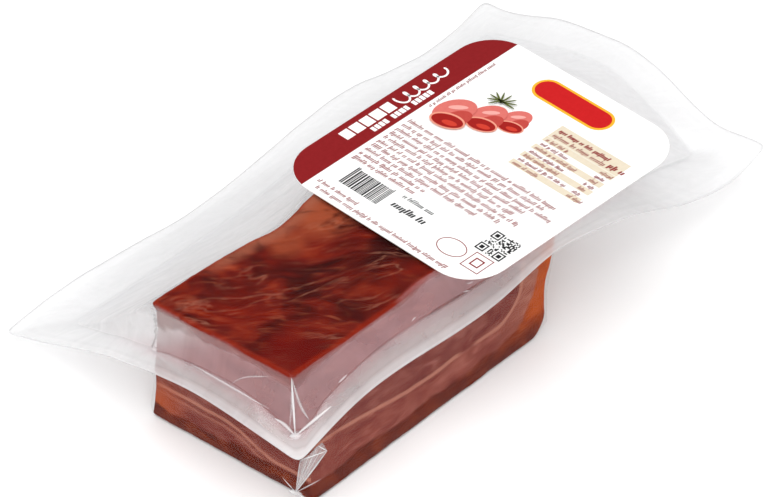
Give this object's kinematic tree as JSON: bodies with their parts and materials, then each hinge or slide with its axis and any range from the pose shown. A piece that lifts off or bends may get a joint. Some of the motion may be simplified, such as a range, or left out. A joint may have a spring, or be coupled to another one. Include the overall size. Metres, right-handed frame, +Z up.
{
  "type": "bacon pack",
  "caption": "Rectangular block of smoked bacon sealed in clear film, with a broad drooping film rim and a large round-cornered paper label on top.",
  "frame": {"origin": "middle of the whole part's box in plan, on the table it rests on", "axes": "+X along the pack's long side, away from the end that the block fills; +Y from the block's side of the pack to its wide empty rim; +Z up, out of the label"},
  "size_m": [0.1884, 0.1114, 0.043],
  "materials": {
    "film": "clear glossy film, slightly milky where it stands off the meat",
    "paper": "satin coated white paper with a dark red band"
  },
  "bodies": {
    "root": {"sealed_pack": "film", "label": "paper"}
  },
  "joints": []
}
